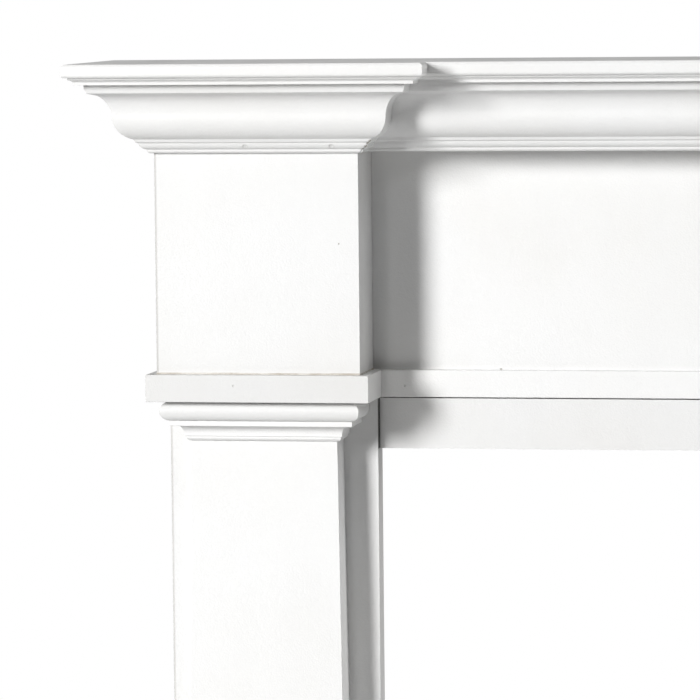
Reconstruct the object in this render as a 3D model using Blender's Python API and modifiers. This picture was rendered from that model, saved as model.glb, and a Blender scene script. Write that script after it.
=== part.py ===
"""A breakfront fireplace mantel: a header with two square blocks, and two legs with pilasters.

X runs along the shelf, Y from the room (-) to the wall (+), and Z is up. The origin is on the
floor, at the middle of the mantel's box. A "drop" is a distance below the shelf's top, and a
"proud" distance is how far a moulding stands off the face that it is nailed to. Everything is
set out for the right-hand side, and the left-hand pieces are its mirror images.
"""

from math import asin, atan2, cos, hypot, pi, radians, sin

import bmesh
import bpy
from mathutils import Matrix

# The whole mantel
WIDTH = 1.940
DEPTH = 0.190
HEIGHT = 1.3645
GAP = 0.0003
WELD = 0.00001
ARRIS = 0.0006
BOARD = 0.019
LEG_BOARD = 0.022

# Planes across the depth
WALL = DEPTH / 2
SHELF_OVERHANG = 0.070
BLOCK_FACE = -DEPTH / 2 + SHELF_OVERHANG
BREAK = 0.030
CENTRE_CROWN_FACE = BLOCK_FACE + BREAK
FRIEZE_FACE = BLOCK_FACE + 0.067
HEADER_FACE = BLOCK_FACE + 0.061
LEG_FACE = BLOCK_FACE + 0.0535
PILASTER_FACE = LEG_FACE - 0.0319

# Places along the width, outwards from the middle
BLOCK_INNER = 0.7181
BLOCK_OUTER = 0.9024
LEG_INNER = 0.712
PILASTER_INNER = 0.7433
PILASTER_OUTER = 0.8763
JOINT_LINE = 0.0004

# Drops below the shelf's top
SHELF_THICKNESS = 0.0184
UNDER_SHELF = SHELF_THICKNESS + GAP
CROWN_FOOT = 0.0805
BAND_TOP = 0.2777
HEADER_JOINT = 0.302
LEG_TOP = HEADER_JOINT + GAP
HEADER_FOOT = 0.3485
BAND_PROUD = 0.0088

# The shelf's edge, as steps inwards and up or down from its fullest line
EDGE_FULL_TOP = 0.0036
EDGE_FULL = 0.0044
EDGE_UPPER_STEPS = ((0.0003, 0.0012), (0.0009, 0.0013), (0.0023, 0.0011))
EDGE_LOWER_STEPS = (
    (0.0003, 0.0014),
    (0.0009, 0.0014),
    (0.0021, 0.0013),
    (0.0022, 0.0017),
    (0.0021, 0.0010),
    (0.0018, 0.0012),
    (0.0004, 0.0024),
)
# How far the shelf is first made past the wall, before its back is sawn off there
TRIM = 0.02

# The capital under the band
TORUS_PROUD = 0.024
TORUS_HEIGHT = 0.0174
CAPITAL_FOOT = 0.3385

# Pieces that are hidden or lie outside what is seen
FRIEZE_THICKNESS = BOARD
HEADER_THICKNESS = FRIEZE_FACE - HEADER_FACE + FRIEZE_THICKNESS
BATTEN_DROPS = (0.240, 0.345)
BATTEN_HALF = 0.700
RAIL_DROP = 0.0567
RAIL_HALF = 0.700
CLEAT_HALF = 0.640
CLEAT_THICKNESS = BOARD
PLINTH_HEIGHT = 0.150
PLINTH_SIDE = 0.008
PLINTH_PROUD = 0.012
TOP_PLATE_SETBACK = 0.020

# The pilaster's shaft below its capital, for each metre down: wider at each side, and forward
SHAFT_SPREAD = 0.0124
SHAFT_LEAN = 0.0125
SHAFT_FOOT = HEIGHT - PLINTH_HEIGHT - GAP
SHAFT_LENGTH = SHAFT_FOOT - CAPITAL_FOOT

# Fasteners
SCREW_PLACES = {"left": -0.450, "middle": 0.0, "right": 0.450}
SCREW_RADIUS = 0.0021
SCREW_HEAD = 0.0042
SCREW_HEAD_DEPTH = 0.003
SCREW_HEAD_RIM = 0.0038
SCREW_HEAD_FLAT = 0.0025
SCREW_TIP = 0.0013
SCREW_POINT = 0.0063
SCREW_BITE = 0.0115
BOLT_RADIUS = 0.004
BOLT_HEAD = 0.0085
BOLT_HEAD_DEPTH = 0.0055
BOLT_END = 0.006
BOLT_PLACES = {"inner": 0.775, "outer": 0.845}
HOLE_CLEARANCE = 0.0004
CLEAT_HOLE_RADIUS = 0.0026
CLEAT_HOLES = (-0.60, -0.20, 0.20, 0.60)
ROUND_SIDES = 16

# Colour and roughness of each finish
WHITE = (0.86, 0.86, 0.85)
WHITE_ROUGHNESS = 0.42
RAW_WOOD = (0.62, 0.47, 0.30)
RAW_WOOD_ROUGHNESS = 0.75
RAW_PANEL = (0.48, 0.37, 0.25)
RAW_PANEL_ROUGHNESS = 0.80
ZINC = (0.62, 0.63, 0.64)
ZINC_ROUGHNESS = 0.35


def clear_scene():
    for obj in list(bpy.data.objects):
        bpy.data.objects.remove(obj)


def new_collection(name):
    group = bpy.data.collections.new(name)
    bpy.context.scene.collection.children.link(group)
    return group


def finish(obj, colour, roughness, metallic=0.0):
    """Gives the object a material of its own."""
    material = bpy.data.materials.new(obj.name + "_finish")
    material.use_nodes = True
    shader = material.node_tree.nodes["Principled BSDF"]
    shader.inputs["Base Color"].default_value = (*colour, 1.0)
    shader.inputs["Roughness"].default_value = roughness
    shader.inputs["Metallic"].default_value = metallic
    obj.data.materials.clear()
    obj.data.materials.append(material)


def painted(obj):
    finish(obj, WHITE, WHITE_ROUGHNESS)


def raw_wood(obj):
    finish(obj, RAW_WOOD, RAW_WOOD_ROUGHNESS)


def raw_panel(obj):
    finish(obj, RAW_PANEL, RAW_PANEL_ROUGHNESS)


def zinc_plated(obj):
    finish(obj, ZINC, ZINC_ROUGHNESS, metallic=1.0)


def place(name, bm, parent, location=(0.0, 0.0, 0.0), turn=0.0):
    """Turns a bmesh into a named object, and puts it where it belongs."""
    mesh = bpy.data.meshes.new(name)
    bm.to_mesh(mesh)
    bm.free()
    obj = bpy.data.objects.new(name, mesh)
    MANTEL.objects.link(obj)
    obj.location = location
    obj.rotation_euler.z = turn
    obj.parent = parent
    return obj


def mirror_image(obj, name, parent):
    """The left-hand twin of a right-hand piece."""
    mesh = obj.data.copy()
    mesh.name = name
    mesh.transform(Matrix.Scale(-1.0, 4, (1.0, 0.0, 0.0)))
    mesh.flip_normals()
    twin = bpy.data.objects.new(name, mesh)
    MANTEL.objects.link(twin)
    twin.location = (-obj.location.x, obj.location.y, obj.location.z)
    twin.rotation_euler.z = -obj.rotation_euler.z
    twin.parent = parent
    return twin


def board(name, xs, ys, drops, parent):
    """A square-edged board between two places along each axis."""
    lows = (xs[0], ys[0], HEIGHT - drops[1])
    highs = (xs[1], ys[1], HEIGHT - drops[0])
    bm = bmesh.new()
    bmesh.ops.create_cube(bm, size=1.0)
    bmesh.ops.scale(bm, vec=[high - low for low, high in zip(lows, highs)], verts=bm.verts)
    return place(name, bm, parent, [(low + high) / 2 for low, high in zip(lows, highs)])


def shaft_board(name, ys, back_lean, parent):
    """One layer of a pilaster: straight behind the capital, then tapered and leaning forward.

    ys are its front and back at the top. Its front leans by SHAFT_LEAN and its back by back_lean.
    """
    xs = (PILASTER_INNER, PILASTER_OUTER)
    obj = board(name, xs, ys, (LEG_TOP, SHAFT_FOOT), parent)
    bm = bmesh.new()
    bm.from_mesh(obj.data)
    start = HEIGHT - CAPITAL_FOOT - obj.location.z
    everything = list(bm.verts) + list(bm.edges) + list(bm.faces)
    bmesh.ops.bisect_plane(bm, geom=everything, plane_co=(0.0, 0.0, start), plane_no=(0.0, 0.0, 1.0))
    for vert in bm.verts:
        fall = max(0.0, start - vert.co.z)
        spread = SHAFT_SPREAD if vert.co.x > 0 else -SHAFT_SPREAD
        lean = SHAFT_LEAN if vert.co.y < 0 else back_lean
        vert.co.x += spread * fall
        vert.co.y -= lean * fall
    bm.to_mesh(obj.data)
    bm.free()
    return obj


def arc(start, end, rise, steps=6):
    """Points on a round arc, after start and up to end, with its crown a rise off the chord.

    The rise is to the left of the way from start to end where it is above 0, and else to the right.
    On a moulding's face, drawn downwards, a rise above 0 is a hollow and one below 0 a round.
    """
    chord = hypot(end[0] - start[0], end[1] - start[1])
    radius = (chord * chord / 4 + rise * rise) / (2 * abs(rise))
    half = asin(min(1.0, chord / 2 / radius))
    heading = atan2(end[1] - start[1], end[0] - start[0])
    side = 1.0 if rise > 0 else -1.0
    points = []
    for step in range(1, steps + 1):
        angle = half * (2 * step / steps - 1)
        along = chord / 2 + radius * sin(angle)
        off = side * (radius * cos(angle) - radius * cos(half))
        points.append(
            (
                start[0] + along * cos(heading) - off * sin(heading),
                start[1] + along * sin(heading) + off * cos(heading),
            )
        )
    return points


def crown_profile():
    """The crown as (proud, drop), from its top down its face and back up its sprung back."""
    face = [(0.0512, UNDER_SHELF)]
    face += arc(face[-1], (0.0493, 0.0259), -0.0005, 3)
    face.append((0.0412, 0.0281))
    face += arc(face[-1], (0.0308, 0.0474), 0.0028)
    face += arc(face[-1], (0.0154, 0.0675), -0.0042)
    face += [(0.0139, 0.0702), (0.0117, 0.0713)]
    face += arc(face[-1], (0.0065, 0.0767), -0.0010, 3)
    face += [(0.0056, 0.0769), (0.0051, 0.0791), (0.0031, CROWN_FOOT)]
    back = [(GAP, CROWN_FOOT), (GAP, 0.066), (0.032, UNDER_SHELF)]
    return face + back


def band_profile():
    return [
        (GAP, BAND_TOP),
        (BAND_PROUD - ARRIS, BAND_TOP),
        (BAND_PROUD, BAND_TOP + ARRIS),
        (BAND_PROUD, HEADER_JOINT - ARRIS),
        (BAND_PROUD - ARRIS, HEADER_JOINT),
        (GAP, HEADER_JOINT),
    ]


def torus_profile():
    """A half-round nosing."""
    flat = TORUS_PROUD - TORUS_HEIGHT / 2
    foot = LEG_TOP + TORUS_HEIGHT
    nose = arc((flat, LEG_TOP), (flat, foot), -TORUS_HEIGHT / 2, 10)
    return [(GAP, LEG_TOP), (flat, LEG_TOP)] + nose + [(GAP, foot)]


def capital_profile():
    """A fillet, a cove and a small fillet under the torus."""
    top = LEG_TOP + TORUS_HEIGHT + GAP
    face = [(0.0166, top), (0.0166, 0.3245), (0.0091, 0.3245)]
    face += arc(face[-1], (0.0053, 0.3344), 0.0012, 4)
    face += [(0.0041, 0.3344), (0.0041, 0.3366), (0.0020, CAPITAL_FOOT)]
    return [(GAP, top)] + face + [(GAP, CAPITAL_FOOT)]


def moulding(name, profile, length, mitres, location, turn, parent):
    """A length of moulding that runs along its own +X and stands proud towards its own -Y.

    mitres gives each end's cut: 1 for an outside corner, where the end runs on by as much as
    the moulding is proud, -1 for an inside corner, and 0 for a square end.
    """
    curve = bpy.data.curves.new(name, "CURVE")
    curve.dimensions = "2D"
    curve.fill_mode = "BOTH"
    curve.extrude = length / 2
    spline = curve.splines.new("POLY")
    spline.points.add(len(profile) - 1)
    spline.use_cyclic_u = True
    for point, (proud, drop) in zip(spline.points, profile):
        point.co = (proud, HEIGHT - drop, 0.0, 1.0)
    outline = bpy.data.objects.new(name + "_outline", curve)
    MANTEL.objects.link(outline)
    graph = bpy.context.evaluated_depsgraph_get()
    mesh = bpy.data.meshes.new_from_object(outline.evaluated_get(graph))
    bpy.data.objects.remove(outline)
    bm = bmesh.new()
    bm.from_mesh(mesh)
    bpy.data.meshes.remove(mesh)
    bmesh.ops.remove_doubles(bm, verts=bm.verts, dist=WELD)
    for vert in bm.verts:
        proud, height, along = vert.co
        cut = mitres[1] if along > 0 else -mitres[0]
        vert.co = (along + length / 2 + cut * proud, -proud, height)
    bmesh.ops.recalc_face_normals(bm, faces=bm.faces)
    return place(name, bm, parent, location, turn)


def both_sides(name, builder, coat, parents, **settings):
    """Makes a right-hand piece with builder, and its left-hand twin."""
    right = builder(name + "_right", parent=parents[1], **settings)
    left = mirror_image(right, name + "_left", parents[0])
    for obj in (right, left):
        coat(obj)
    return left, right


def mitred_wrap(name, profile, face_y, inner_x, outer_x, outer_end, inner_end, inner_cut, parents):
    """A front length with a return on each side of a block or pilaster, mitred at the corners."""
    saw = GAP / 2
    both_sides(
        name + "_front",
        moulding,
        painted,
        parents,
        profile=profile,
        length=outer_x - inner_x - 2 * saw,
        mitres=(1, 1),
        location=(inner_x + saw, face_y, 0.0),
        turn=0.0,
    )
    both_sides(
        name + "_outer_return",
        moulding,
        painted,
        parents,
        profile=profile,
        length=outer_end - face_y - saw,
        mitres=(1, 0),
        location=(outer_x, face_y + saw, 0.0),
        turn=pi / 2,
    )
    both_sides(
        name + "_inner_return",
        moulding,
        painted,
        parents,
        profile=profile,
        length=inner_end - face_y - 2 * saw,
        mitres=(inner_cut, 1),
        location=(inner_x, inner_end - saw, 0.0),
        turn=-pi / 2,
    )


def move_along(faces, bm, inward, rise):
    """Steps a flat face inwards and along its normal, leaving the step as new faces."""
    bmesh.ops.inset_region(bm, faces=faces, thickness=inward, depth=rise, use_even_offset=True)


def shelf_board(parent):
    """One board whose front and ends have the shelf's edge worked on them."""
    half = WIDTH / 2
    break_x = BLOCK_INNER - SHELF_OVERHANG
    front = -DEPTH / 2
    corners = [
        (-half, WALL + TRIM),
        (-half, front),
        (-break_x, front),
        (-break_x, front + BREAK),
        (break_x, front + BREAK),
        (break_x, front),
        (half, front),
        (half, WALL + TRIM),
    ]
    bm = bmesh.new()
    full_foot = HEIGHT - EDGE_FULL_TOP - EDGE_FULL
    bottom = bm.faces.new([bm.verts.new((x, y, full_foot)) for x, y in corners])
    grown = bmesh.ops.extrude_face_region(bm, geom=[bottom])["geom"]
    top_verts = [item for item in grown if isinstance(item, bmesh.types.BMVert)]
    bmesh.ops.translate(bm, verts=top_verts, vec=(0.0, 0.0, EDGE_FULL))
    bmesh.ops.recalc_face_normals(bm, faces=bm.faces)
    flats = [face for face in bm.faces if abs(face.normal.z) > 0.5]
    bottom = min(flats, key=lambda face: face.calc_center_median().z)
    top = max(flats, key=lambda face: face.calc_center_median().z)
    for inward, rise in EDGE_UPPER_STEPS:
        move_along([top], bm, inward, rise)
    for inward, rise in EDGE_LOWER_STEPS:
        move_along([bottom], bm, inward, rise)
    everything = list(bm.verts) + list(bm.edges) + list(bm.faces)
    cut = bmesh.ops.bisect_plane(
        bm, geom=everything, plane_co=(0.0, WALL, 0.0), plane_no=(0.0, 1.0, 0.0), clear_outer=True
    )
    rim = [item for item in cut["geom_cut"] if isinstance(item, bmesh.types.BMEdge)]
    bmesh.ops.contextual_create(bm, geom=rim)
    bmesh.ops.recalc_face_normals(bm, faces=bm.faces)
    obj = place("shelf_board", bm, parent)
    painted(obj)
    return obj


def header_boards(parent):
    """The boards and rails that run between the two blocks."""
    frieze = (FRIEZE_FACE, FRIEZE_FACE + FRIEZE_THICKNESS)
    behind = frieze[1] + GAP
    reach = BLOCK_INNER + BOARD
    painted(board("frieze_panel", (-reach, reach), frieze, (UNDER_SHELF, HEADER_JOINT), parent))
    reach = LEG_INNER - JOINT_LINE
    depths = (HEADER_FACE, HEADER_FACE + HEADER_THICKNESS)
    painted(board("header_board", (-reach, reach), depths, (LEG_TOP, HEADER_FOOT), parent))
    reach = BLOCK_INNER - GAP
    depths = (CENTRE_CROWN_FACE, FRIEZE_FACE - GAP)
    drops = (UNDER_SHELF, CROWN_FOOT - GAP)
    painted(board("crown_backer", (-reach, reach), depths, drops, parent))
    reach = BATTEN_HALF
    depths = (behind, behind + BOARD)
    raw_wood(board("header_batten", (-reach, reach), depths, BATTEN_DROPS, parent))
    reach = RAIL_HALF
    depths = (behind, WALL - CLEAT_THICKNESS - GAP)
    rail = board("shelf_rail", (-reach, reach), depths, (UNDER_SHELF, RAIL_DROP), parent)
    raw_wood(rail)
    reach = CLEAT_HALF
    depths = (WALL - CLEAT_THICKNESS, WALL)
    cleat = board("wall_cleat", (-reach, reach), depths, (UNDER_SHELF, RAIL_DROP), parent)
    raw_wood(cleat)
    return rail, cleat


def header_blocks(parent):
    """The square block at each end of the header: a face, two sides and a bottom."""
    parents = (parent, parent)
    behind = BLOCK_FACE + BOARD + GAP
    drops = (UNDER_SHELF, HEADER_JOINT)
    both_sides(
        "block_face",
        board,
        painted,
        parents,
        xs=(BLOCK_INNER, BLOCK_OUTER),
        ys=(BLOCK_FACE, BLOCK_FACE + BOARD),
        drops=drops,
    )
    both_sides(
        "block_outer_side",
        board,
        painted,
        parents,
        xs=(BLOCK_OUTER - BOARD, BLOCK_OUTER),
        ys=(behind, WALL),
        drops=drops,
    )
    both_sides(
        "block_inner_side",
        board,
        painted,
        parents,
        xs=(BLOCK_INNER, BLOCK_INNER + BOARD),
        ys=(behind, FRIEZE_FACE - GAP),
        drops=drops,
    )
    return both_sides(
        "block_bottom",
        board,
        raw_panel,
        parents,
        xs=(BLOCK_INNER + BOARD + GAP, BLOCK_OUTER - BOARD - GAP),
        ys=(behind, WALL),
        drops=(HEADER_JOINT - BOARD, HEADER_JOINT),
    )


def crown_and_band(parent):
    """The mouldings that wrap the blocks and run on across the middle."""
    parents = (parent, parent)
    crown_end = CENTRE_CROWN_FACE
    mitred_wrap(
        "crown", crown_profile(), BLOCK_FACE, BLOCK_INNER, BLOCK_OUTER, WALL, crown_end, -1, parents
    )
    reach = BLOCK_INNER - GAP / 2
    centre = moulding(
        "crown_centre",
        crown_profile(),
        2 * reach,
        (-1, -1),
        (-reach, CENTRE_CROWN_FACE, 0.0),
        0.0,
        parent,
    )
    painted(centre)
    band_end = FRIEZE_FACE - GAP / 2
    mitred_wrap(
        "band", band_profile(), BLOCK_FACE, BLOCK_INNER, BLOCK_OUTER, WALL, band_end, 0, parents
    )
    reach = BLOCK_INNER - BAND_PROUD - GAP
    centre = moulding(
        "band_centre", band_profile(), 2 * reach, (0, 0), (-reach, FRIEZE_FACE, 0.0), 0.0, parent
    )
    painted(centre)


def legs(parents):
    """Each leg: its boards, its pilaster with a capital, and its plinth."""
    foot = HEIGHT
    behind = LEG_FACE + LEG_BOARD + GAP
    both_sides(
        "leg_board",
        board,
        painted,
        parents,
        xs=(LEG_INNER, BLOCK_OUTER),
        ys=(LEG_FACE, LEG_FACE + LEG_BOARD),
        drops=(LEG_TOP, foot),
    )
    both_sides(
        "leg_side_panel",
        board,
        painted,
        parents,
        xs=(BLOCK_OUTER - BOARD, BLOCK_OUTER),
        ys=(behind, WALL),
        drops=(LEG_TOP, foot),
    )
    top_plates = both_sides(
        "leg_top_plate",
        board,
        raw_panel,
        parents,
        xs=(LEG_INNER + TOP_PLATE_SETBACK, BLOCK_OUTER - BOARD - GAP),
        ys=(behind, WALL),
        drops=(LEG_TOP, LEG_TOP + BOARD),
    )
    both_sides(
        "pilaster_face",
        shaft_board,
        painted,
        parents,
        ys=(PILASTER_FACE, PILASTER_FACE + BOARD),
        back_lean=SHAFT_LEAN,
    )
    both_sides(
        "pilaster_packer",
        shaft_board,
        painted,
        parents,
        ys=(PILASTER_FACE + BOARD + GAP, LEG_FACE - GAP),
        back_lean=0.0,
    )
    side = SHAFT_SPREAD * SHAFT_LENGTH + PLINTH_SIDE
    front = PILASTER_FACE - SHAFT_LEAN * SHAFT_LENGTH - PLINTH_PROUD
    both_sides(
        "plinth_block",
        board,
        painted,
        parents,
        xs=(PILASTER_INNER - side, PILASTER_OUTER + side),
        ys=(front, LEG_FACE - GAP),
        drops=(foot - PLINTH_HEIGHT, foot),
    )
    return_end = LEG_FACE - GAP
    for name, profile in (("torus", torus_profile()), ("capital", capital_profile())):
        mitred_wrap(
            name,
            profile,
            PILASTER_FACE,
            PILASTER_INNER,
            PILASTER_OUTER,
            return_end,
            return_end,
            0,
            parents,
        )
    return top_plates


def turned(name, profile, parent, location):
    """A round fastener: (radius, height) points turned round its own Z, from top to bottom."""
    bm = bmesh.new()
    verts = [bm.verts.new((radius, 0.0, height)) for radius, height in profile]
    for upper, lower in zip(verts, verts[1:]):
        bm.edges.new((upper, lower))
    obj = place(name, bm, parent, location)
    screw = obj.modifiers.new("turn", "SCREW")
    screw.steps = ROUND_SIDES
    screw.render_steps = ROUND_SIDES
    screw.use_merge_vertices = True
    screw.merge_threshold = WELD
    zinc_plated(obj)


def hole_cutter(name, radius, places, ends, axis="Z"):
    """Closed cylinders between two places on an axis, which cut holes and aren't part of the mantel."""
    bm = bmesh.new()
    for x, across in places:
        made = bmesh.ops.create_cone(
            bm,
            cap_ends=True,
            segments=ROUND_SIDES,
            radius1=radius,
            radius2=radius,
            depth=ends[1] - ends[0],
        )
        middle = (ends[0] + ends[1]) / 2
        if axis == "Y":
            turn = Matrix.Rotation(radians(90.0), 4, "X")
            bmesh.ops.transform(bm, matrix=turn, verts=made["verts"])
            bmesh.ops.translate(bm, verts=made["verts"], vec=(x, middle, across))
        else:
            bmesh.ops.translate(bm, verts=made["verts"], vec=(x, across, middle))
    mesh = bpy.data.meshes.new(name)
    bm.to_mesh(mesh)
    bm.free()
    cutter = bpy.data.objects.new(name, mesh)
    CUTTERS.objects.link(cutter)
    cutter.hide_render = True
    cutter.display_type = "WIRE"
    return cutter


def drill(obj, cutter):
    boolean = obj.modifiers.new("holes", "BOOLEAN")
    boolean.operation = "DIFFERENCE"
    boolean.solver = "EXACT"
    boolean.object = cutter


def shelf_fixings(parent, shelf, rail, cleat):
    """Screws driven up through the rail into the shelf, and the holes that the wall cleat hangs by."""
    rail_y = (FRIEZE_FACE + FRIEZE_THICKNESS + WALL - CLEAT_THICKNESS) / 2
    rail_foot = HEIGHT - RAIL_DROP
    tip = HEIGHT - SHELF_THICKNESS + SCREW_BITE
    head_foot = rail_foot - SCREW_HEAD_DEPTH
    profile = [
        (0.0, tip),
        (SCREW_TIP, tip - SCREW_POINT / 3),
        (SCREW_RADIUS, tip - SCREW_POINT),
        (SCREW_RADIUS, rail_foot - GAP),
        (SCREW_HEAD, rail_foot - GAP),
        (SCREW_HEAD_RIM, head_foot + SCREW_HEAD_DEPTH / 4),
        (SCREW_HEAD_FLAT, head_foot),
        (0.0, head_foot),
    ]
    for place_name, x in SCREW_PLACES.items():
        turned("shelf_screw_" + place_name, profile, parent, (x, rail_y, 0.0))
    places = [(x, rail_y) for x in SCREW_PLACES.values()]
    radius = SCREW_RADIUS + HOLE_CLEARANCE
    ends = (rail_foot - BOARD, tip + HOLE_CLEARANCE)
    cutter = hole_cutter("screw_holes", radius, places, ends)
    drill(rail, cutter)
    drill(shelf, cutter)
    middle = HEIGHT - (UNDER_SHELF + RAIL_DROP) / 2
    places = [(x, middle) for x in CLEAT_HOLES]
    ends = (WALL - 2 * CLEAT_THICKNESS, WALL + CLEAT_THICKNESS)
    drill(cleat, hole_cutter("cleat_holes", CLEAT_HOLE_RADIUS, places, ends, "Y"))


def leg_fixings(sides, plates):
    """Bolts that pull each leg up to its block."""
    bolt_y = (LEG_FACE + LEG_BOARD + GAP + WALL) / 2
    head_top = HEIGHT - LEG_TOP - BOARD - GAP
    head_foot = head_top - BOLT_HEAD_DEPTH
    tip = HEIGHT - HEADER_JOINT + BOARD + BOLT_END
    profile = [
        (0.0, tip),
        (BOLT_RADIUS - ARRIS, tip),
        (BOLT_RADIUS, tip - ARRIS),
        (BOLT_RADIUS, head_top),
        (BOLT_HEAD, head_top),
        (BOLT_HEAD, head_foot + ARRIS),
        (BOLT_HEAD - ARRIS, head_foot),
        (0.0, head_foot),
    ]
    places = []
    for side_name, (sign, parent) in sides.items():
        for place_name, x in BOLT_PLACES.items():
            name = "leg_bolt_" + side_name + "_" + place_name
            turned(name, profile, parent, (sign * x, bolt_y, 0.0))
            places.append((sign * x, bolt_y))
    radius = BOLT_RADIUS + HOLE_CLEARANCE
    ends = (head_foot - BOARD, tip + BOARD)
    cutter = hole_cutter("bolt_holes", radius, places, ends)
    for plate in plates:
        drill(plate, cutter)


def build():
    assemblies = []
    for name in ("mantel_header", "leg_left", "leg_right"):
        empty = bpy.data.objects.new(name, None)
        MANTEL.objects.link(empty)
        assemblies.append(empty)
    header, left, right = assemblies
    shelf = shelf_board(header)
    rail, cleat = header_boards(header)
    bottoms = header_blocks(header)
    crown_and_band(header)
    top_plates = legs((left, right))
    shelf_fixings(header, shelf, rail, cleat)
    leg_fixings({"left": (-1, left), "right": (1, right)}, bottoms + top_plates)


clear_scene()
MANTEL = new_collection("fireplace_mantel")
CUTTERS = new_collection("cutters")
build()
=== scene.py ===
from math import asin, atan2, cos, hypot, pi, radians, sin

import bmesh
import bpy
from mathutils import Matrix, Vector


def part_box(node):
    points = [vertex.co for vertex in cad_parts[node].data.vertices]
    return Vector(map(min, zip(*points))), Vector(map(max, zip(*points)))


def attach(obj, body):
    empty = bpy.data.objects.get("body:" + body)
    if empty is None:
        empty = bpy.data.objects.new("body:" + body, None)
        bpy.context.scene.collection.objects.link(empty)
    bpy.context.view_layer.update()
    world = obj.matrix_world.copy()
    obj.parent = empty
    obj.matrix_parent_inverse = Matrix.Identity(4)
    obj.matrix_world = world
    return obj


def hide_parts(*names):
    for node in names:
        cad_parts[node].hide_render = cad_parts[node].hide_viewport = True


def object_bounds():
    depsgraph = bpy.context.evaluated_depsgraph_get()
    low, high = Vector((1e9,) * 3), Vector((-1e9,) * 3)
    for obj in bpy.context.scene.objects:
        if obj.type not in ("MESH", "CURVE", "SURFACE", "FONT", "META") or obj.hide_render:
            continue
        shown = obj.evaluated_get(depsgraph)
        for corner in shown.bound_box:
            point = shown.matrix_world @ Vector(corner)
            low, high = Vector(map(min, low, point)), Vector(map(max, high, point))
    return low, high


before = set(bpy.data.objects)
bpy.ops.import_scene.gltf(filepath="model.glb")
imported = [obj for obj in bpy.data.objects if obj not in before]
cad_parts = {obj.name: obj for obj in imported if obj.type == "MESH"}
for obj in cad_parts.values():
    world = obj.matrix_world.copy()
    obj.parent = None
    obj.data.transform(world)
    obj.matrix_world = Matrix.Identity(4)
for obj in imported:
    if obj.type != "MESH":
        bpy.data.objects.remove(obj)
cad_low, cad_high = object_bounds()

scene = bpy.context.scene

# The camera: opposite the mantel's middle, just above the shelf, turned to the left-hand block.
CAMERA_PLACE = (0.060, -4.225, 1.449)
CAMERA_YAW = 10.610
CAMERA_PITCH = 4.546
CAMERA_ROLL = -0.575
lens = bpy.data.cameras.new("camera")
lens.sensor_width = 36.0
lens.lens = 248.9
lens.clip_start = 0.1
lens.clip_end = 200.0
camera = bpy.data.objects.new("camera", lens)
scene.collection.objects.link(camera)
camera.matrix_world = (
    Matrix.Translation(CAMERA_PLACE)
    @ Matrix.Rotation(radians(CAMERA_YAW), 4, "Z")
    @ Matrix.Rotation(radians(90.0 - CAMERA_PITCH), 4, "X")
    @ Matrix.Rotation(radians(CAMERA_ROLL), 4, "Z")
)
scene.camera = camera
scene.view_settings.view_transform = "Standard"
scene.view_settings.look = "None"

# Planes and places, in metres, as the model has them
HEIGHT = cad_high.z
WALL = cad_high.y
SHELF_FRONT = cad_low.y
HALF = cad_high.x
BLOCK_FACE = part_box("block_face_right")[0].y
BLOCK_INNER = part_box("block_face_right")[0].x
BLOCK_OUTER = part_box("block_face_right")[1].x
CENTRE_CROWN_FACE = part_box("crown_backer")[0].y
FRIEZE_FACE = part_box("frieze_panel")[0].y
HEADER_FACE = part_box("header_board")[0].y
LEG_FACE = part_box("leg_board_right")[0].y
LEG_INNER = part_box("leg_board_right")[0].x
PILASTER_PROUD = 0.0319
PILASTER_FACE = LEG_FACE - PILASTER_PROUD
SHAFT_LEAN = 0.0125
PILASTER_INNER = 0.7433
PILASTER_OUTER = 0.8763
SHELF_THICKNESS = 0.0184
CROWN_FOOT = 0.0805
BAND_TOP = 0.2777
HEADER_JOINT = 0.302
BAND_PROUD = 0.0088
TORUS_PROUD = 0.024
TORUS_HEIGHT = 0.0174
CAPITAL_FOOT = 0.3385
HEADER_FOOT = 0.3485
HEADER_END_GAP = 0.0003
HEADER_TOP_GAP = 0.0009
SHELF_BREAK = 0.6481
BREAK = 0.030
GAP = 0.0003
# How far a moulding's back stays off its board, and the radius of an eased arris
GLUED = 0.0001
EASED = 0.0012


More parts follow.
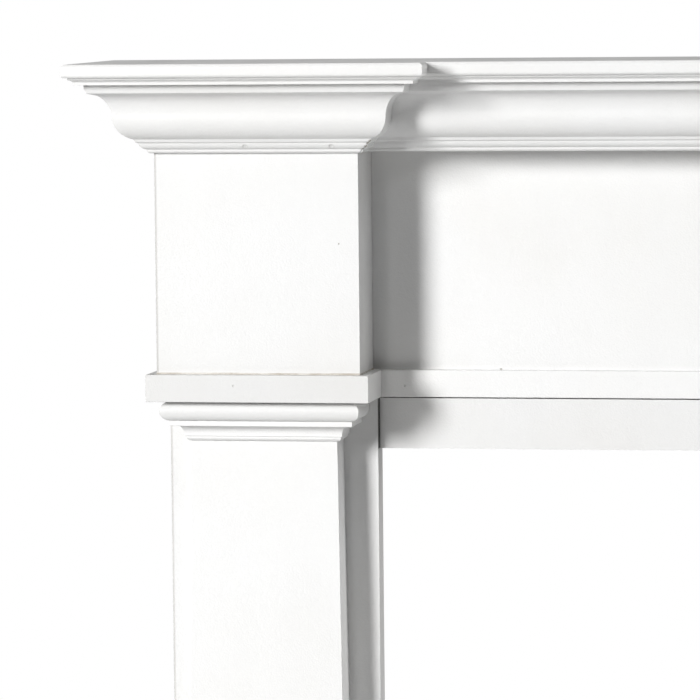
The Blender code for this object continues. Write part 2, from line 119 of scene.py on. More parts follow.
# ---------------------------------------------------------------- materials
class Tree:
    """Builds a node tree in few words."""

    def __init__(self, name):
        self.material = bpy.data.materials.new(name)
        self.material.use_nodes = True
        self.nodes = self.material.node_tree.nodes
        self.links = self.material.node_tree.links
        self.shader = self.nodes["Principled BSDF"]
        self.where = self.add("ShaderNodeTexCoord").outputs["Object"]

    def add(self, kind, **settings):
        node = self.nodes.new(kind)
        for key, value in settings.items():
            setattr(node, key, value)
        return node

    def put(self, value, socket):
        if isinstance(value, bpy.types.NodeSocket):
            self.links.new(value, socket)
        else:
            socket.default_value = value

    def noise(self, scale, detail=2.0, roughness=0.5, stretch=None):
        node = self.add("ShaderNodeTexNoise")
        node.inputs["Scale"].default_value = scale
        node.inputs["Detail"].default_value = detail
        node.inputs["Roughness"].default_value = roughness
        where = self.where
        if stretch:
            mapping = self.add("ShaderNodeMapping")
            mapping.inputs["Scale"].default_value = stretch
            self.links.new(self.where, mapping.inputs["Vector"])
            where = mapping.outputs["Vector"]
        self.links.new(where, node.inputs["Vector"])
        return node.outputs["Fac"]

    def math(self, operation, a, b=0.0, clamp=False):
        node = self.add("ShaderNodeMath", operation=operation, use_clamp=clamp)
        self.put(a, node.inputs[0])
        self.put(b, node.inputs[1])
        return node.outputs[0]

    def ramp(self, value, low, high, to_low=0.0, to_high=1.0):
        node = self.add("ShaderNodeMapRange", interpolation_type="SMOOTHSTEP")
        for socket, number in zip(node.inputs, (value, low, high, to_low, to_high)):
            self.put(number, socket)
        return node.outputs[0]

    def mix(self, factor, a, b):
        node = self.add("ShaderNodeMix", data_type="RGBA")
        self.put(factor, node.inputs["Factor"])
        for value, socket in ((a, node.inputs[6]), (b, node.inputs[7])):
            self.put((*value, 1.0) if isinstance(value, tuple) else value, socket)
        return node.outputs[2]

    def bump(self, height, distance, strength=1.0, normal=None):
        node = self.add("ShaderNodeBump")
        node.inputs["Strength"].default_value = strength
        node.inputs["Distance"].default_value = distance
        self.put(height, node.inputs["Height"])
        if normal:
            self.links.new(normal, node.inputs["Normal"])
        return node.outputs["Normal"]

    def near(self, point, inner, outer):
        """1 within inner of a point, and 0 beyond outer."""
        node = self.add("ShaderNodeVectorMath", operation="DISTANCE")
        self.links.new(self.where, node.inputs[0])
        node.inputs[1].default_value = point
        return self.ramp(node.outputs["Value"], inner, outer, 1.0, 0.0)

    def near_upright(self, plan, inner, outer):
        """1 within inner of an upright line at (x, y) or (-x, y), and 0 beyond outer."""
        split = self.add("ShaderNodeSeparateXYZ")
        self.links.new(self.where, split.inputs[0])
        flat = self.add("ShaderNodeCombineXYZ")
        self.links.new(self.math("ABSOLUTE", split.outputs["X"]), flat.inputs["X"])
        self.links.new(split.outputs["Y"], flat.inputs["Y"])
        node = self.add("ShaderNodeVectorMath", operation="DISTANCE")
        self.links.new(flat.outputs[0], node.inputs[0])
        node.inputs[1].default_value = (*plan, 0.0)
        return self.ramp(node.outputs["Value"], inner, outer, 1.0, 0.0)

    def out(self, colour=None, roughness=None, normal=None):
        if colour is not None:
            self.put(colour, self.shader.inputs["Base Color"])
        if roughness is not None:
            self.put(roughness, self.shader.inputs["Roughness"])
        if normal is not None:
            self.put(normal, self.shader.inputs["Normal"])
        return self.material


WHITE = (0.730, 0.730, 0.726)
WHITE_WARM = (0.712, 0.708, 0.696)
# Painted shade, laid as a darker line along the outer arris of the blocks and legs
ARRIS_PAINTED_SHADE = (0.450, 0.445, 0.430)
# How far the growth rings are drawn out along a board
RINGS_STRETCH = (0.12, 1.0, 1.0)
# Painted shade, laid on the leg's edge inside the open joint beside the header
JOINT_PAINTED_SHADE = (0.080, 0.076, 0.070)
RAW_PANEL = (0.360, 0.240, 0.130)
RAW_PANEL_PALE = (0.480, 0.345, 0.205)


def paint(name, nails=(), specks=(), bare_back=True, tone=1.0, arris=None, joint=None):
    """Satin white paint with a fine sprayed stipple, filled nail holes and small knocks.

    nails are (point, radius), filled and sunk a little. specks are (point, radius), bare and dark.
    arris is the place in plan of an outer corner, along which a darker line is painted as painted
    shade.
    joint is the place in plan of the open joint beside the header, where the leg's edge is painted
    dark as painted shade.
    """
    t = Tree(name)
    fine = t.noise(650.0, 2.0, 0.6)
    coarse = t.noise(260.0, 1.0)
    slow = t.noise(7.0, 3.0)
    streak = t.noise(34.0, 2.0, 0.6, (1.0, 1.0, 0.25))
    # tone darkens the white. On the blocks, pilasters and legs it is painted shade, for light that
    # falls off towards the bottom and left; the bands, torus and header are only set a few percent
    # darker.
    white, warm = (tuple(level * tone for level in shade) for shade in (WHITE, WHITE_WARM))
    colour = t.mix(t.ramp(slow, 0.35, 0.75), white, warm)
    rough = t.ramp(streak, 0.25, 0.75, 0.40, 0.52)
    height = t.math("ADD", t.math("MULTIPLY", fine, 0.65), t.math("MULTIPLY", coarse, 0.35))
    normal = t.bump(height, 0.00034, 0.90)
    colour = t.mix(t.ramp(fine, 0.30, 0.70, 0.0, 0.02), colour, (0.300, 0.300, 0.305))
    # Painted shade: a darker line along the outer upright arris.
    if arris:
        arris_shade = t.math("MULTIPLY", t.near_upright(arris, 0.0010, 0.0024), 0.75)
        colour = t.mix(arris_shade, colour, ARRIS_PAINTED_SHADE)
    for point, radius in nails:
        disc = t.near(point, radius * 0.55, radius)
        rim = t.math("SUBTRACT", t.near(point, radius * 0.9, radius * 1.5), disc, clamp=True)
        colour = t.mix(t.math("MULTIPLY", disc, 0.20), colour, (0.55, 0.545, 0.53))
        colour = t.mix(t.math("MULTIPLY", rim, 0.35), colour, (0.46, 0.45, 0.43))
        normal = t.bump(t.math("SUBTRACT", 1.0, disc), 0.0006, 0.9, normal)
    for point, radius in specks:
        disc = t.near(point, radius * 0.5, radius)
        colour = t.mix(t.math("MULTIPLY", disc, 0.75), colour, (0.30, 0.27, 0.23))
        normal = t.bump(t.math("SUBTRACT", 1.0, disc), 0.0004, 0.9, normal)
    if bare_back:
        facing = t.add("ShaderNodeNewGeometry").outputs["Normal"]
        split = t.add("ShaderNodeSeparateXYZ")
        t.links.new(facing, split.inputs[0])
        mottle = t.noise(16.0, 4.0, 0.6)
        fibre = t.noise(420.0, 3.0, 0.7)
        bare = t.mix(t.ramp(fibre, 0.3, 0.7), RAW_PANEL, RAW_PANEL_PALE)
        mist = t.ramp(mottle, 0.50, 0.85, 1.0, 0.75)
        back = t.math("MULTIPLY", t.ramp(split.outputs["Y"], 0.85, 0.95), mist)
        # Painted shade: the leg's inner edge beside the header's end joint is darkened above the
        # header's foot, standing in for the shade in that crevice.
        if joint:
            place = t.add("ShaderNodeSeparateXYZ")
            t.links.new(t.where, place.inputs[0])
            foot = HEIGHT - HEADER_FOOT
            joint_shade = t.ramp(t.math("ABSOLUTE", split.outputs["X"]), 0.85, 0.95)
            joint_shade = t.math("MULTIPLY", joint_shade, t.near_upright(joint, 0.020, 0.025))
            above_foot = t.ramp(place.outputs["Z"], foot - 0.001, foot + 0.001)
            joint_shade = t.math("MULTIPLY", joint_shade, above_foot)
            colour = t.mix(joint_shade, colour, JOINT_PAINTED_SHADE)
        colour = t.mix(back, colour, bare)
        rough = t.math("ADD", rough, t.math("MULTIPLY", back, 0.35))
    return t.out(colour, rough, normal)


def softwood(name):
    """Planed pine: growth rings that run along the board, fine pores and a few knots."""
    t = Tree(name)
    rings = t.add("ShaderNodeTexWave", wave_type="BANDS", bands_direction="Z", wave_profile="SAW")
    rings.inputs["Scale"].default_value = 38.0
    rings.inputs["Distortion"].default_value = 9.0
    rings.inputs["Detail"].default_value = 3.0
    rings.inputs["Detail Scale"].default_value = 1.4
    mapping = t.add("ShaderNodeMapping")
    mapping.inputs["Scale"].default_value = RINGS_STRETCH
    t.links.new(t.where, mapping.inputs["Vector"])
    t.links.new(mapping.outputs["Vector"], rings.inputs["Vector"])
    pores = t.noise(900.0, 3.0, 0.7, (0.04, 1.0, 1.0))
    colour = t.mix(rings.outputs["Fac"], (0.640, 0.470, 0.270), (0.430, 0.270, 0.125))
    colour = t.mix(t.ramp(pores, 0.35, 0.75, 0.0, 0.5), colour, (0.700, 0.540, 0.340))
    knots = t.add("ShaderNodeTexVoronoi")
    knots.inputs["Scale"].default_value = 5.5
    t.links.new(mapping.outputs["Vector"], knots.inputs["Vector"])
    knot = t.ramp(knots.outputs["Distance"], 0.03, 0.09, 1.0, 0.0)
    colour = t.mix(t.math("MULTIPLY", knot, 0.8), colour, (0.230, 0.120, 0.050))
    grain = t.math("MULTIPLY", rings.outputs["Fac"], 0.4)
    height = t.math("ADD", t.math("MULTIPLY", pores, 0.6), grain)
    return t.out(colour, t.ramp(pores, 0.3, 0.7, 0.62, 0.80), t.bump(height, 0.0003, 0.6))


def fibreboard(name):
    """Bare medium-density fibreboard: short pale fibres in a brown ground."""
    t = Tree(name)
    fibre = t.noise(420.0, 3.0, 0.7)
    flecks = t.noise(1500.0, 2.0, 0.7, (1.0, 1.0, 0.3))
    slow = t.noise(9.0, 3.0)
    colour = t.mix(t.ramp(fibre, 0.3, 0.7), RAW_PANEL, RAW_PANEL_PALE)
    colour = t.mix(t.ramp(flecks, 0.62, 0.80, 0.0, 0.6), colour, (0.560, 0.430, 0.280))
    colour = t.mix(t.ramp(slow, 0.4, 0.8, 0.0, 0.35), colour, (0.300, 0.195, 0.105))
    return t.out(colour, t.ramp(fibre, 0.3, 0.7, 0.74, 0.88), t.bump(fibre, 0.0003, 0.5))


def zinc(name):
    """Bright zinc plate, a little cloudy, with fine handling marks."""
    t = Tree(name)
    t.shader.inputs["Metallic"].default_value = 1.0
    cloud = t.noise(160.0, 3.0, 0.6)
    scratch = t.noise(1800.0, 2.0, 0.6, (1.0, 1.0, 0.15))
    colour = t.mix(t.ramp(cloud, 0.3, 0.7), (0.660, 0.670, 0.680), (0.520, 0.525, 0.520))
    return t.out(colour, t.ramp(cloud, 0.3, 0.7, 0.24, 0.42), t.bump(scratch, 0.0001, 0.3))


def caulk(name):
    """Painter's caulk that has picked up dust on its upper side."""
    t = Tree(name)
    dust = t.noise(150.0, 4.0, 0.7, (0.35, 1.0, 1.0))
    colour = t.mix(t.ramp(dust, 0.35, 0.70), (0.410, 0.370, 0.320), (0.660, 0.645, 0.610))
    return t.out(colour, t.ramp(dust, 0.3, 0.7, 0.60, 0.78), t.bump(dust, 0.0003, 0.6))


NAIL = 0.0024
BRAD = 0.0009
PAINT = paint("paint")
PAINT_MOULDING = paint("paint_moulding", bare_back=False)
PAINT_TORUS = paint("paint_torus", bare_back=False, tone=0.93)
SOFTWOOD = softwood("bare_softwood")
FIBREBOARD = fibreboard("bare_fibreboard")
ZINC = zinc("zinc_plate")
CAULK = caulk("dusty_caulk")

OVOLO_PROUD = 0.0095
NAIL_DROP = 0.0742
CROWN_NAILS = [
    ((sign * x, BLOCK_FACE - OVOLO_PROUD, HEIGHT - NAIL_DROP), NAIL)
    for sign in (-1, 1)
    for x in (0.8176, 0.7401)
]
CENTRE_NAILS = [
    ((x, CENTRE_CROWN_FACE - OVOLO_PROUD, HEIGHT - NAIL_DROP), NAIL) for x in (-0.21, 0.19, 0.56)
]
BAND_NAILS = [
    ((sign * 0.831, BLOCK_FACE - BAND_PROUD, HEIGHT - 0.2871), BRAD) for sign in (-1, 1)
]
BAND_CENTRE_NAILS = [
    ((x, FRIEZE_FACE - BAND_PROUD, HEIGHT - 0.2917), BRAD) for x in (-0.688, -0.29, 0.11, 0.52)
]
LEDGE_SPECKS = [((-0.6018, FRIEZE_FACE, HEIGHT - BAND_TOP), 0.0016)]
BLOCK_SPECKS = [((-0.7359, BLOCK_FACE, HEIGHT - 0.161), BRAD)]
SHELF_CHIPS = [
    ((-0.958, SHELF_FRONT + 0.0033, HEIGHT - 0.0121), 0.0011),
    ((-0.761, SHELF_FRONT + 0.0033, HEIGHT - 0.0121), 0.0010),
]
BLOCK_ARRIS = (BLOCK_OUTER, BLOCK_FACE)
MITRE_DIRT = 0.0024
MITRE_CRACK = [
    ((proud - BLOCK_INNER, BLOCK_FACE - proud, HEIGHT - drop), MITRE_DIRT)
    for proud, drop in ((0.0139, 0.0702), (0.0117, 0.0716), (0.0090, 0.0742), (0.0062, 0.0768))
]
PAINT_OF = {
    "crown_front_left": paint("paint_crown_left", CROWN_NAILS[:2], MITRE_CRACK, bare_back=False),
    "crown_inner_return_left": paint("paint_crown_return", (), MITRE_CRACK, bare_back=False),
    "crown_front_right": paint("paint_crown_right", CROWN_NAILS[2:], bare_back=False),
    "crown_centre": paint("paint_crown_centre", CENTRE_NAILS, bare_back=False),
    "band_front_left": paint("paint_band_left", BAND_NAILS[:1], bare_back=False, tone=0.88),
    "band_front_right": paint("paint_band_right", BAND_NAILS[1:], bare_back=False, tone=0.88),
    "band_centre": paint("paint_band_centre", BAND_CENTRE_NAILS, bare_back=False),
    "frieze_panel": paint("paint_frieze", (), LEDGE_SPECKS),
    # The blocks' paint is 3.5 percent darker, as painted shade.
    "block_face_left": paint("paint_block_left", (), BLOCK_SPECKS, tone=0.965, arris=BLOCK_ARRIS),
    "block_face_right": paint("paint_block_right", tone=0.965, arris=BLOCK_ARRIS),
    "shelf_board": paint("paint_shelf", (), SHELF_CHIPS, False),
    "header_board": paint("paint_header", tone=0.93),
}
# The pilasters' paint is 2.5 percent darker and the legs' 11 percent darker, as painted shade for
# light that falls off towards the bottom and left.
PAINT_PILASTER = paint("paint_pilaster", tone=0.975)
# The leg paint also darkens the leg's edge inside the header's end joint, as painted shade in that
# crevice.
PAINT_LEG = paint(
    "paint_leg", tone=0.89, arris=(BLOCK_OUTER, LEG_FACE), joint=(LEG_INNER, HEADER_FACE)
)
for side in ("left", "right"):
    for part in ("torus_front_", "torus_inner_return_", "torus_outer_return_"):
        PAINT_OF[part + side] = PAINT_TORUS
    PAINT_OF["leg_board_" + side] = PAINT_LEG
    PAINT_OF["pilaster_face_" + side] = PAINT_PILASTER


# ---------------------------------------------------------------- shapes
def coat(obj, material):
    obj.data.materials.clear()
    obj.data.materials.append(material)


def piece(name, bm, material, slot, *nodes, crease=35.0):
    """A new piece on the body, which stands for its CAD nodes."""
    bmesh.ops.recalc_face_normals(bm, faces=bm.faces)
    mesh = bpy.data.meshes.new(name)
    bm.to_mesh(mesh)
    bm.free()
    mesh.shade_smooth()
    mesh.set_sharp_from_angle(angle=radians(crease))
    obj = bpy.data.objects.new(name, mesh)
    scene.collection.objects.link(obj)
    coat(obj, material)
    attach(obj, "root")
    if nodes:
        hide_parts(*nodes)
    flat_shading = obj.modifiers.new("flat_shading", "WEIGHTED_NORMAL")
    flat_shading.keep_sharp = True
    flat_shading.weight = 90
    return obj


def arc(start, end, rise, steps=12):
    """Points on a round arc, after start and up to end, with its crown a rise off the chord."""
    chord = hypot(end[0] - start[0], end[1] - start[1])
    radius = (chord * chord / 4 + rise * rise) / (2 * abs(rise))
    half = asin(min(1.0, chord / 2 / radius))
    heading = atan2(end[1] - start[1], end[0] - start[0])
    side = 1.0 if rise > 0 else -1.0
    points = []
    for step in range(1, steps + 1):
        angle = half * (2 * step / steps - 1)
        along = chord / 2 + radius * sin(angle)
        off = side * (radius * cos(angle) - radius * cos(half))
        points.append(
            (
                start[0] + along * cos(heading) - off * sin(heading),
                start[1] + along * sin(heading) + off * cos(heading),
            )
        )
    return points


def eased(profile, radius, steps=3, closed=True):
    """The same outline with its sharp corners rounded."""
    count = len(profile)
    points = []
    for index, corner in enumerate(profile):
        here = Vector(corner)
        before = Vector(profile[index - 1]) - here
        after = Vector(profile[(index + 1) % count]) - here
        on_end = not closed and index in (0, count - 1)
        if on_end or before.length < 1e-6 or after.length < 1e-6:
            points.append(tuple(here))
            continue
        if pi - before.angle(after) < radians(24.0):
            points.append(tuple(here))
            continue
        reach = min(radius, before.length * 0.45, after.length * 0.45)
        first = here + before.normalized() * reach
        last = here + after.normalized() * reach
        for step in range(steps + 1):
            part = step / steps
            spot = first * (1 - part) ** 2 + here * 2 * part * (1 - part) + last * part**2
            points.append(tuple(spot))
    return points


def crown_profile():
    face = [(0.0512, SHELF_THICKNESS)]
    face += arc(face[-1], (0.0493, 0.0259), -0.0005)
    face.append((0.0412, 0.0281))
    face += arc(face[-1], (0.0308, 0.0474), 0.0028)
    face += arc(face[-1], (0.0154, 0.0675), -0.0042)
    face += [(0.0139, 0.0702), (0.0117, 0.0713)]
    face += arc(face[-1], (0.0065, 0.0767), -0.0010)
    face += [(0.0056, 0.0769), (0.0051, 0.0791), (0.0031, CROWN_FOOT)]
    return face + [(GLUED, CROWN_FOOT), (GLUED, 0.066), (0.032, SHELF_THICKNESS)]


def band_profile():
    return [
        (GLUED, BAND_TOP),
        (BAND_PROUD, BAND_TOP),
        (BAND_PROUD, HEADER_JOINT),
        (GLUED, HEADER_JOINT),
    ]


def torus_profile():
    flat = TORUS_PROUD - TORUS_HEIGHT / 2
    top = HEADER_JOINT + GAP
    foot = top + TORUS_HEIGHT
    nose = arc((flat, top), (flat, foot), -TORUS_HEIGHT / 2, 20)
    return [(GLUED, top), (flat, top)] + nose + [(GLUED, foot)]


def capital_profile():
    top = HEADER_JOINT + GAP + TORUS_HEIGHT
    face = [(0.0166, top), (0.0166, 0.3245), (0.0091, 0.3245)]
    face += arc(face[-1], (0.0053, 0.3344), 0.0012)
    face += [(0.0041, 0.3344), (0.0041, 0.3366), (0.0020, CAPITAL_FOOT)]
    return [(GLUED, top)] + face + [(GLUED, CAPITAL_FOOT)]


# The crown's mitre that has opened at its foot: the piece, where it starts to open, and how wide
OPEN_MITRE = "crown_front_left"
OPEN_MITRE_DROP = 0.058
OPEN_MITRE_WIDTH = 0.0016


def run_of_moulding(name, profile, stations, material):
    """A length of moulding between two stations: each is a place in plan and its way outwards."""
    bm = bmesh.new()
    rings = []
    for (x, y), (out_x, out_y) in stations:
        ring = [
            bm.verts.new((x + out_x * proud, y + out_y * proud, HEIGHT - drop))
            for proud, drop in profile
        ]
        rings.append(ring)
    if name == OPEN_MITRE:
        for vert, (_, drop) in zip(rings[0], profile):
            opened = max(0.0, drop - OPEN_MITRE_DROP) / (CROWN_FOOT - OPEN_MITRE_DROP)
            vert.co.x -= OPEN_MITRE_WIDTH * opened
    count = len(profile)
    for index in range(count):
        after = (index + 1) % count
        bm.faces.new((rings[0][index], rings[0][after], rings[1][after], rings[1][index]))
    bm.faces.new(rings[0])
    bm.faces.new(list(reversed(rings[1])))
    piece(name + "_moulding", bm, material, "white_painted_wood", name)


def mirrored(stations):
    return [((-x, y), (-out_x, out_y)) for (x, y), (out_x, out_y) in stations]


def wrap(prefix, profile, face, inner, outer, outer_end, inner_end, inner_out):
    """The front and the two returns, on both sides of the mantel."""
    outer_start = ((outer, outer_end), (1, 0))
    outer_corner = ((outer, face), (1, -1))
    inner_corner = ((inner, face), (-1, -1))
    inner_stop = ((inner, inner_end), inner_out)
    for part, stations in (
        ("front", [inner_corner, outer_corner]),
        ("outer_return", [outer_corner, outer_start]),
        ("inner_return", [inner_stop, inner_corner]),
    ):
        for side, places in (("right", stations), ("left", mirrored(stations))):
            name = prefix + "_" + part + "_" + side
            run_of_moulding(name, profile, places, PAINT_OF.get(name, PAINT_MOULDING))


def mouldings():
    crown = eased(crown_profile(), 0.0005)
    wrap("crown", crown, BLOCK_FACE, BLOCK_INNER, BLOCK_OUTER, WALL, CENTRE_CROWN_FACE, (-1, -1))
    ends = [((BLOCK_INNER, CENTRE_CROWN_FACE), (-1, -1))]
    run_of_moulding("crown_centre", crown, mirrored(ends) + ends, PAINT_OF["crown_centre"])
    band = eased(band_profile(), 0.0008)
    wrap("band", band, BLOCK_FACE, BLOCK_INNER, BLOCK_OUTER, WALL, FRIEZE_FACE, (-1, 0))
    ends = [((BLOCK_INNER - BAND_PROUD, FRIEZE_FACE), (0, -1))]
    run_of_moulding("band_centre", band, mirrored(ends) + ends, PAINT_OF["band_centre"])
    for prefix, profile in (("torus", torus_profile()), ("capital", capital_profile())):
        outline = eased(profile, 0.0005)
        places = (PILASTER_FACE, PILASTER_INNER, PILASTER_OUTER, LEG_FACE, LEG_FACE)
        wrap(prefix, outline, *places, (-1, 0))


def shelf():
    """The shelf board with its worked edge: a flattened round, a slope, a cove and a fillet."""
    edge = [(0.0035, 0.0)]
    edge += arc(edge[-1], (0.0, 0.0036), 0.0009)
    edge.append((0.0, 0.0094))
    edge += arc(edge[-1], (0.0033, 0.0121), 0.0009)
    edge += [(0.0047, 0.0123), (0.0054, 0.0138), (0.0064, 0.0142)]
    edge += arc(edge[-1], (0.0094, 0.0160), -0.0004, 6)
    edge.append((0.0098, SHELF_THICKNESS))
    edge = eased(edge, 0.0002, closed=False)
    corners = [
        ((-HALF, WALL), (1, 0)),
        ((-HALF, SHELF_FRONT), (1, 1)),
        ((-SHELF_BREAK, SHELF_FRONT), (-1, 1)),
        ((-SHELF_BREAK, SHELF_FRONT + BREAK), (-1, 1)),
        ((SHELF_BREAK, SHELF_FRONT + BREAK), (1, 1)),
        ((SHELF_BREAK, SHELF_FRONT), (1, 1)),
        ((HALF, SHELF_FRONT), (-1, 1)),
        ((HALF, WALL), (-1, 0)),
    ]
    bm = bmesh.new()
    rings = []
    for inset, drop in edge:
        ring = [
            bm.verts.new((x + in_x * inset, y + in_y * inset, HEIGHT - drop))
            for (x, y), (in_x, in_y) in corners
        ]
        rings.append(ring)
    for upper, lower in zip(rings, rings[1:]):
        for index in range(len(corners)):
            after = (index + 1) % len(corners)
            bm.faces.new((upper[index], upper[after], lower[after], lower[index]))
    bm.faces.new(rings[0])
    bm.faces.new(list(reversed(rings[-1])))
    coating = PAINT_OF["shelf_board"]
    piece("shelf_worked", bm, coating, "white_painted_wood", "shelf_board", crease=25.0)


def eased_copy(node, wants_easing, radius=EASED, shift=None):
    """A CAD board's own shape with chosen arrises eased, and its glued edges closed up."""
    source = frame_object(node)
    bm = bmesh.new()
    bm.from_mesh(source.data)
    bmesh.ops.dissolve_limit(bm, angle_limit=radians(0.02), verts=bm.verts, edges=bm.edges)
    low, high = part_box(node)
    if shift:
        for vert in bm.verts:
            vert.co = shift(vert.co.copy(), low, high)
    edges = [
        edge for edge in bm.edges if len(edge.link_faces) == 2 and wants_easing(edge, low, high)
    ]
    if edges:
        bmesh.ops.bevel(
            bm,
            geom=edges,
            offset=radius,
            offset_type="OFFSET",
            segments=3,
            profile=0.5,
            affect="EDGES",
            clamp_overlap=True,
        )
    piece(node + "_eased", bm, PAINT_OF.get(node, PAINT), "white_painted_wood", node)


def frame_object(node):
    return bpy.data.objects[node]


def middle(edge):
    return (edge.verts[0].co + edge.verts[1].co) / 2


def upright(edge):
    way = edge.verts[1].co - edge.verts[0].co
    return abs(way.z) > 0.9 * way.length


def front_arris(edge, low, high):
    """The upright edges of a board's front face, also where that face leans."""
    spot = middle(edge)
    return upright(edge) and spot.y < (low.y + high.y) / 2


def to_face(co, low, high):
    """Closes the glued edge behind a face board."""
    if co.y < low.y + 0.001:
        co.y -= GAP
    return co


def boards():
    for side in ("left", "right"):
        eased_copy("block_face_" + side, front_arris)
        for part in ("block_outer_side_", "block_inner_side_", "leg_side_panel_"):
            eased_copy(part + side, lambda edge, low, high: False, shift=to_face)
        eased_copy("leg_board_" + side, front_arris)
        eased_copy("pilaster_face_" + side, pilaster_arris)
        eased_copy("pilaster_packer_" + side, lambda edge, low, high: False, shift=packer_shift)
        eased_copy("plinth_block_" + side, plinth_arris, 0.0025, plinth_shift)
    eased_copy("header_board", header_arris, 0.0008, header_shift)
    coat(frame_object("frieze_panel"), PAINT_OF["frieze_panel"])
    coat(frame_object("crown_backer"), PAINT)


def pilaster_arris(edge, low, high):
    """The front pair of the face board's upright edges, which lean forward below the capital."""
    if not upright(edge):
        return False
    fall = max(0.0, HEIGHT - CAPITAL_FOOT - middle(edge).z)
    return middle(edge).y < PILASTER_FACE - SHAFT_LEAN * fall + 0.005


def packer_shift(co, low, high):
    if co.y > LEG_FACE - 0.002:
        co.y = LEG_FACE
    else:
        co.y -= GAP
    return co


def plinth_shift(co, low, high):
    if co.y > high.y - 0.001:
        co.y = LEG_FACE
    return co


def plinth_arris(edge, low, high):
    spot = middle(edge)
    on_back = spot.y > high.y - 0.002
    on_floor = spot.z < low.z + 0.002
    return not on_back and not on_floor and (upright(edge) or spot.z > high.z - 0.002)


def header_arris(edge, low, high):
    spot = middle(edge)
    return spot.z < low.z + 0.001 and spot.y < low.y + 0.001


def header_shift(co, low, high):
    co.x += HEADER_END_GAP if co.x < 0 else -HEADER_END_GAP
    if co.z > high.z - 0.001:
        co.z -= HEADER_TOP_GAP
    return co


def bead(name, start, end, up, out, size):
    """A hollow bead of caulk along an inside corner, from start to end."""
    bm = bmesh.new()
    start, end, up, out = Vector(start), Vector(end), Vector(up), Vector(out)
    section = [Vector((0.0, 0.0)), Vector((size, 0.0))]
    for step in range(1, 6):
        turn = pi / 2 * step / 6
        section.append(Vector((size * (1 - sin(turn)), size * (1 - cos(turn)))))
    section.append(Vector((0.0, size)))
    stations = 24
    rings = []
    for index in range(stations + 1):
        part = index / stations
        swell = 1.0 + 0.08 * sin(part * 17.0) * sin(part * 5.3 + 1.0)
        spot = start.lerp(end, part)
        ring = [bm.verts.new(spot + out * (p.x * swell) + up * (p.y * swell)) for p in section]
        rings.append(ring)
    count = len(section)
    for before, after in zip(rings, rings[1:]):
        for index in range(count):
            following = (index + 1) % count
            bm.faces.new((before[index], before[following], after[following], after[index]))
    bm.faces.new(rings[0])
    bm.faces.new(list(reversed(rings[-1])))
    piece(name, bm, CAULK, "white_painted_wood")


def caulking():
    ledge = HEIGHT - BAND_TOP
    for side, sign in (("left", -1), ("right", 1)):
        ends = [(sign * x, BLOCK_FACE, ledge) for x in (BLOCK_INNER, BLOCK_OUTER)]
        bead("band_caulk_front_" + side, *ends, (0, 0, 1), (0, -1, 0), 0.0016)
        ends = [(sign * BLOCK_INNER, y, ledge) for y in (BLOCK_FACE, FRIEZE_FACE)]
        bead("band_caulk_inner_" + side, *ends, (0, 0, 1), (-sign, 0, 0), 0.0012)
        ends = [(sign * BLOCK_OUTER, y, ledge) for y in (BLOCK_FACE, WALL)]
        bead("band_caulk_outer_" + side, *ends, (0, 0, 1), (sign, 0, 0), 0.0012)


def socket_bolt(name, node, sides=48):
    """A zinc-plated bolt with an inset hexagon in its head, where the CAD has a plain one."""
    low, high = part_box(node)
    x, y = (low.x + high.x) / 2, (low.y + high.y) / 2
    head_radius = (high.x - low.x) / 2
    shank, bevel, depth = 0.004, 0.0007, 0.0035
    key = 0.0040
    head_depth = 0.0055
    head_top = low.z + head_depth
    bm = bmesh.new()

    def ring(radius, z, six=False):
        verts = []
        for index in range(sides):
            turn = 2 * pi * index / sides
            size = radius
            if six:
                size = radius * cos(pi / 6) / cos((turn % (pi / 3)) - pi / 6)
            verts.append(bm.verts.new((x + size * cos(turn), y + size * sin(turn), z)))
        return verts

    rings = [
        ring(key * 0.96, low.z + depth, True),
        ring(key, low.z + 0.0002, True),
        ring(key + 0.0004, low.z, True),
        ring(head_radius - bevel, low.z),
        ring(head_radius - bevel / 3, low.z + bevel / 3),
        ring(head_radius, low.z + bevel),
        ring(head_radius, head_top),
        ring(shank, head_top),
    ]
    turns = 26
    for index in range(turns * 2 + 1):
        z = head_top + 0.0004 + (high.z - 0.0008 - head_top) * index / (turns * 2)
        rings.append(ring(shank - (0.0003 if index % 2 else 0.0), z))
    rings.append(ring(shank - 0.0008, high.z))
    for before, after in zip(rings, rings[1:]):
        for index in range(sides):
            following = (index + 1) % sides
            bm.faces.new((before[index], before[following], after[following], after[index]))
    bm.faces.new(rings[0])
    bm.faces.new(list(reversed(rings[-1])))
    piece(name, bm, ZINC, "zinc_plated_steel", node)


def hardware():
    for node in ("header_batten", "shelf_rail", "wall_cleat"):
        obj = frame_object(node)
        coat(obj, SOFTWOOD)
        soften(obj, 0.0012)
    for side in ("left", "right"):
        for node in ("block_bottom_", "leg_top_plate_"):
            coat(frame_object(node + side), FIBREBOARD)
        for end in ("inner", "outer"):
            node = "leg_bolt_" + side + "_" + end
            socket_bolt(node + "_socket", node)
    for part in ("left", "middle", "right"):
        coat(frame_object("shelf_screw_" + part), ZINC)


def soften(obj, width):
    bevel = obj.modifiers.new("eased", "BEVEL")
    bevel.width = width
    bevel.segments = 3
    bevel.limit_method = "ANGLE"
    bevel.angle_limit = radians(60.0)
    bevel.harden_normals = True


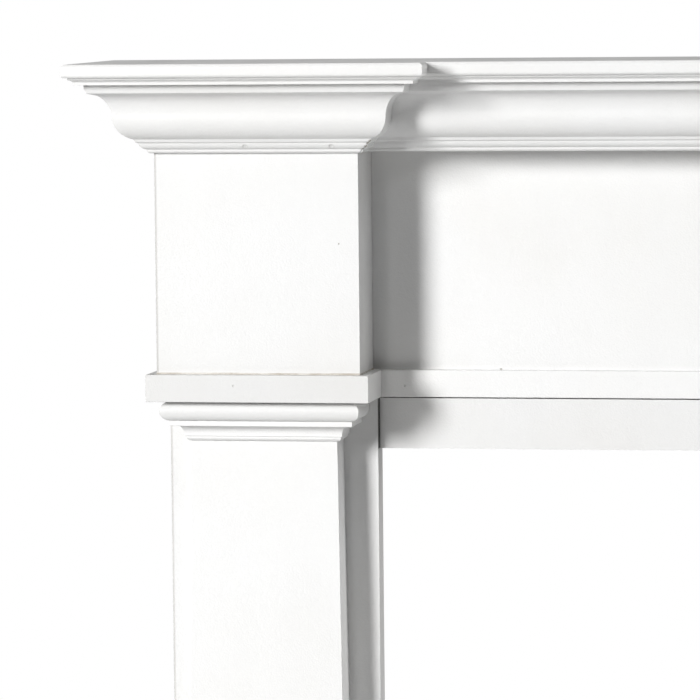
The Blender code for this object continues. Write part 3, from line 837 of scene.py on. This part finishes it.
# ---------------------------------------------------------------- stage and lights
def stage_floor():
    bm = bmesh.new()
    bmesh.ops.create_circle(bm, cap_ends=True, segments=96, radius=3.2)
    mesh = bpy.data.meshes.new("stage_floor")
    bm.to_mesh(mesh)
    bm.free()
    floor = bpy.data.objects.new("stage_floor", mesh)
    scene.collection.objects.link(floor)
    floor.location.z = -0.0005
    t = Tree("stage_paper")
    grain = t.noise(3.0, 2.0)
    colour = t.mix(t.ramp(grain, 0.3, 0.7), (0.90, 0.90, 0.90), (0.88, 0.88, 0.88))
    t.out(colour, 0.9)
    away = t.add("ShaderNodeVectorMath", operation="LENGTH")
    t.links.new(t.where, away.inputs[0])
    clear = t.add("ShaderNodeBsdfTransparent")
    fade = t.add("ShaderNodeMixShader")
    t.links.new(t.ramp(away.outputs["Value"], 1.6, 3.1), fade.inputs["Fac"])
    t.links.new(t.shader.outputs[0], fade.inputs[1])
    t.links.new(clear.outputs[0], fade.inputs[2])
    t.links.new(fade.outputs[0], t.nodes["Material Output"].inputs["Surface"])
    coat(floor, t.material)


LIGHT_TARGET = Vector((-0.80, BLOCK_FACE, 1.10))
LIGHT_DISTANCE = 8.0


def area_light(name, azimuth, elevation, size, power):
    """A soft box, (width, height), aimed at the left-hand block.

    azimuth is in degrees to the left of straight ahead of it.
    """
    turn, lift = radians(azimuth), radians(elevation)
    way = Vector((-sin(turn) * cos(lift), -cos(turn) * cos(lift), sin(lift)))
    light = bpy.data.lights.new(name, "AREA")
    light.shape = "ELLIPSE"
    light.size, light.size_y = size
    light.energy = power
    lamp = bpy.data.objects.new(name, light)
    scene.collection.objects.link(lamp)
    lamp.location = LIGHT_TARGET + way * LIGHT_DISTANCE
    lamp.rotation_euler = way.to_track_quat("Z", "Y").to_euler()
    lamp.visible_camera = False


def lights():
    area_light("key", 37.0, 16.0, (1.9, 3.2), 865.0)
    area_light("second", 11.0, 22.0, (0.85, 0.85), 35.0)
    area_light("low_fill", 5.0, -7.0, (3.0, 1.4), 15.0)
    area_light("top_fill", 0.0, 62.0, (3.0, 3.0), 50.0)
    area_light("top_back", 180.0, 70.0, (3.0, 3.0), 175.0)
    area_light("right_fill", -96.0, 5.0, (3.0, 3.0), 430.0)
    area_light("back_fill", 165.0, -10.0, (4.0, 1.6), 260.0)
    world = bpy.data.worlds.new("studio")
    scene.world = world
    world.use_nodes = True
    nodes, links = world.node_tree.nodes, world.node_tree.links
    ambient = nodes["Background"]
    ambient.inputs["Color"].default_value = (1.0, 1.0, 1.0, 1.0)
    ambient.inputs["Strength"].default_value = 0.030
    backdrop = nodes.new("ShaderNodeBackground")
    backdrop.inputs["Strength"].default_value = 1.0
    backdrop.inputs["Color"].default_value = (1.0, 1.0, 1.0, 1.0)
    path = nodes.new("ShaderNodeLightPath")
    mix = nodes.new("ShaderNodeMixShader")
    links.new(path.outputs["Is Camera Ray"], mix.inputs["Fac"])
    links.new(ambient.outputs[0], mix.inputs[1])
    links.new(backdrop.outputs[0], mix.inputs[2])
    links.new(mix.outputs[0], nodes["World Output"].inputs["Surface"])


mouldings()
shelf()
boards()
caulking()
hardware()
stage_floor()
lights()
